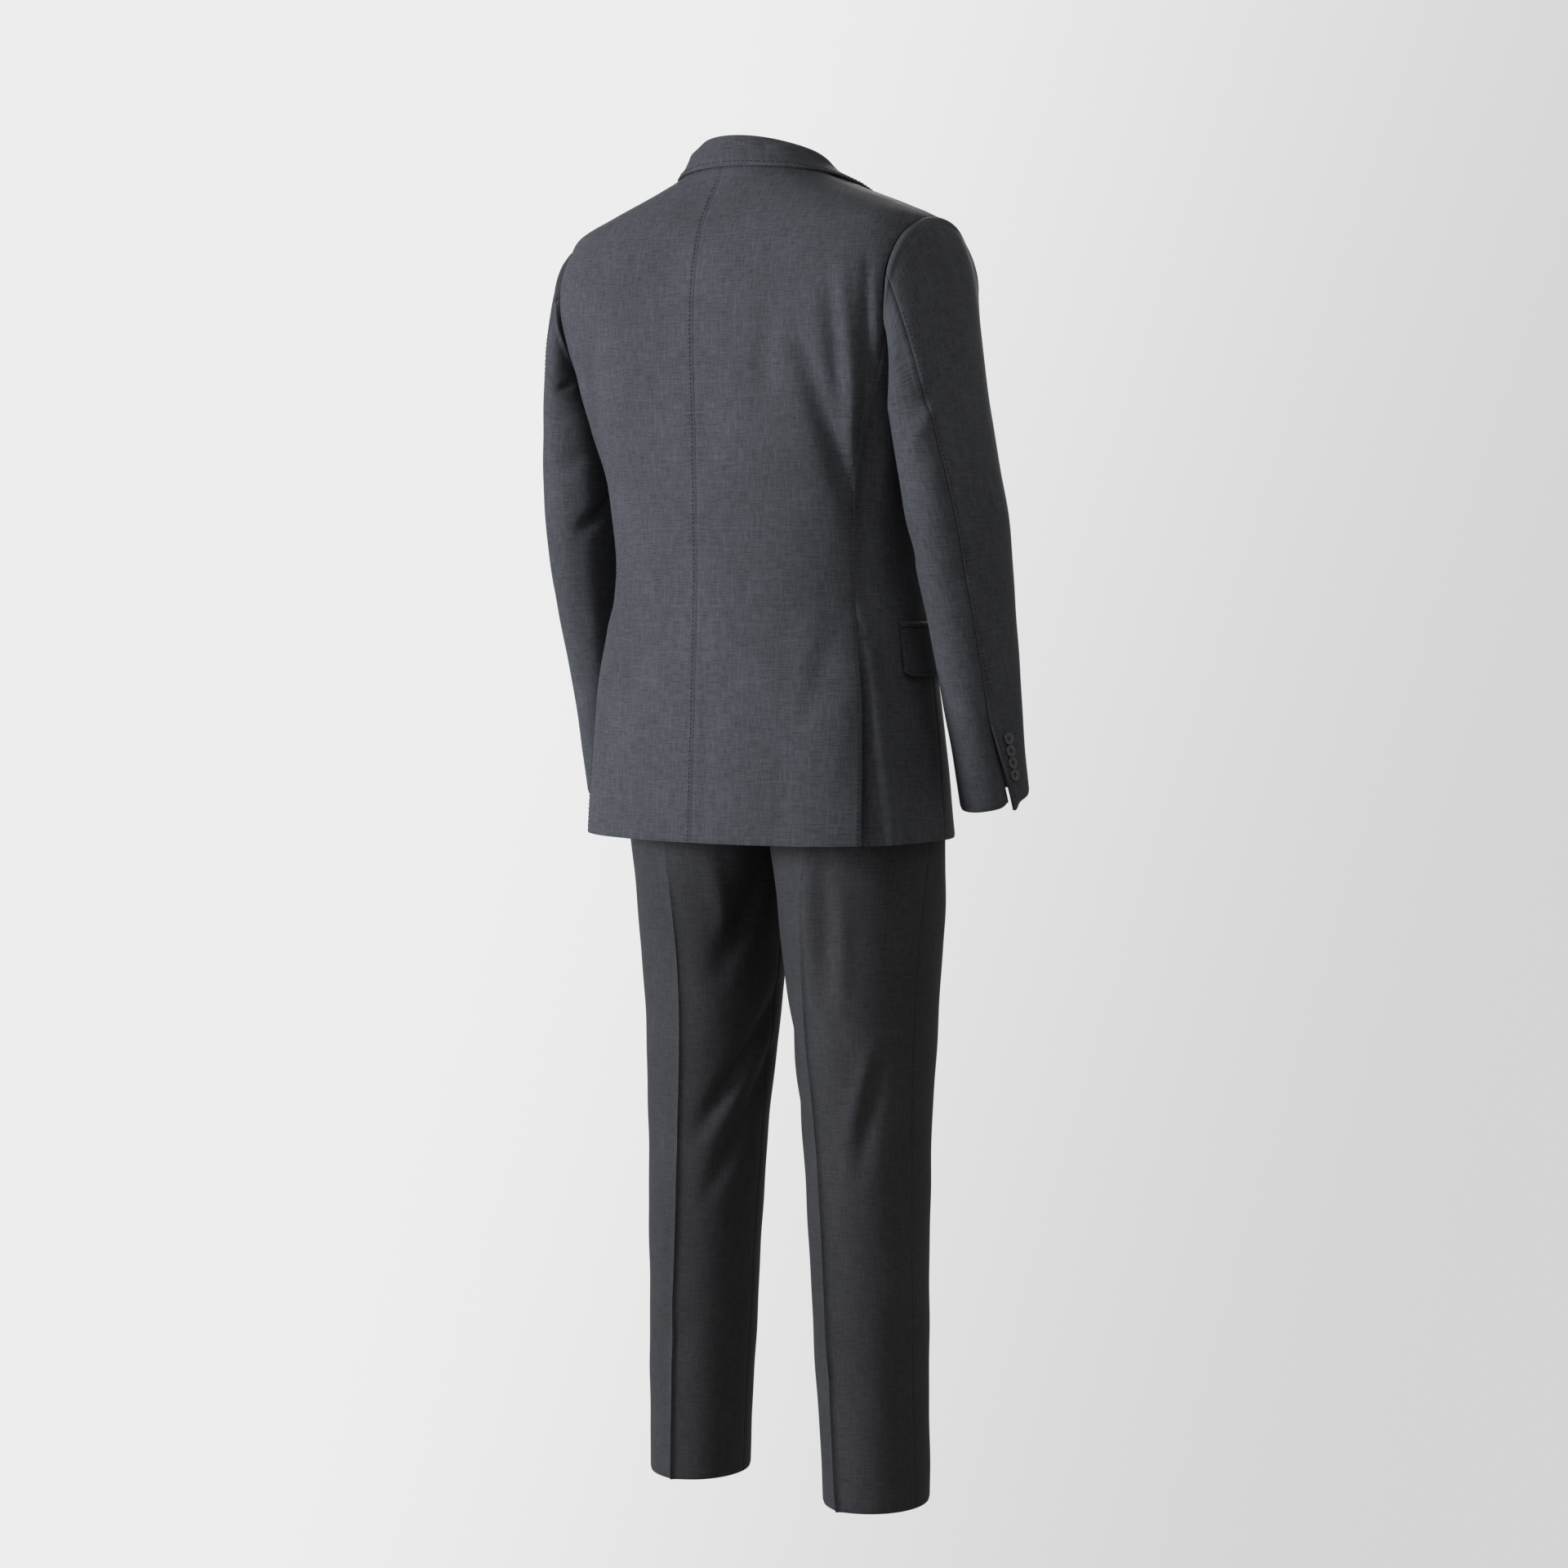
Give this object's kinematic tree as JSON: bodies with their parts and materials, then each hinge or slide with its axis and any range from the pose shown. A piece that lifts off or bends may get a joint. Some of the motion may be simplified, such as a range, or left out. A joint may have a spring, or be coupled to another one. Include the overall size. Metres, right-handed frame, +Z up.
{
  "type": "suit",
  "caption": "Men's suit as worn: single-breasted jacket with side vents, notch lapels and flap pockets over creased trousers, hollow and open at the neck, cuffs and hems.",
  "frame": {"origin": "between the shoulders, on the jacket's centre line, at about the height of the seam at the nape, where the wearer's neck and shoulders hold it", "axes": "+Z up; the wearer faces -Y, so the centre back is at +Y and the wearer's left is at +X"},
  "size_m": [0.5864, 0.3163, 1.5017],
  "materials": {
    "cloth": "fine plain worsted wool, dark blue-grey with lighter and darker threads, faint sheen",
    "trouser_cloth": "the same worsted wool, pressed to creases",
    "button": "dark horn-like buttons with a soft polish"
  },
  "bodies": {
    "root": {"jacket_back_left": "cloth", "jacket_back_right": "cloth", "jacket_side_left": "cloth", "jacket_side_right": "cloth", "jacket_front_left": "cloth", "jacket_front_right": "cloth", "lapel_left": "cloth", "lapel_right": "cloth", "sleeve_top_left": "cloth", "sleeve_top_right": "cloth", "sleeve_under_left": "cloth", "sleeve_under_right": "cloth", "pocket_flap_left": "cloth", "pocket_flap_right": "cloth", "pocket_jet_left": "cloth", "pocket_jet_right": "cloth", "collar": "cloth", "trouser_back_left": "trouser_cloth", "trouser_back_right": "trouser_cloth", "trouser_front_left": "trouser_cloth", "trouser_front_right": "trouser_cloth", "waistband_left": "trouser_cloth", "waistband_right": "trouser_cloth", "front_button_1": "button", "front_button_2": "button", "sleeve_button_left_1": "button", "sleeve_button_left_2": "button", "sleeve_button_left_3": "button", "sleeve_button_left_4": "button", "sleeve_button_right_1": "button", "sleeve_button_right_2": "button", "sleeve_button_right_3": "button", "sleeve_button_right_4": "button"}
  },
  "joints": []
}
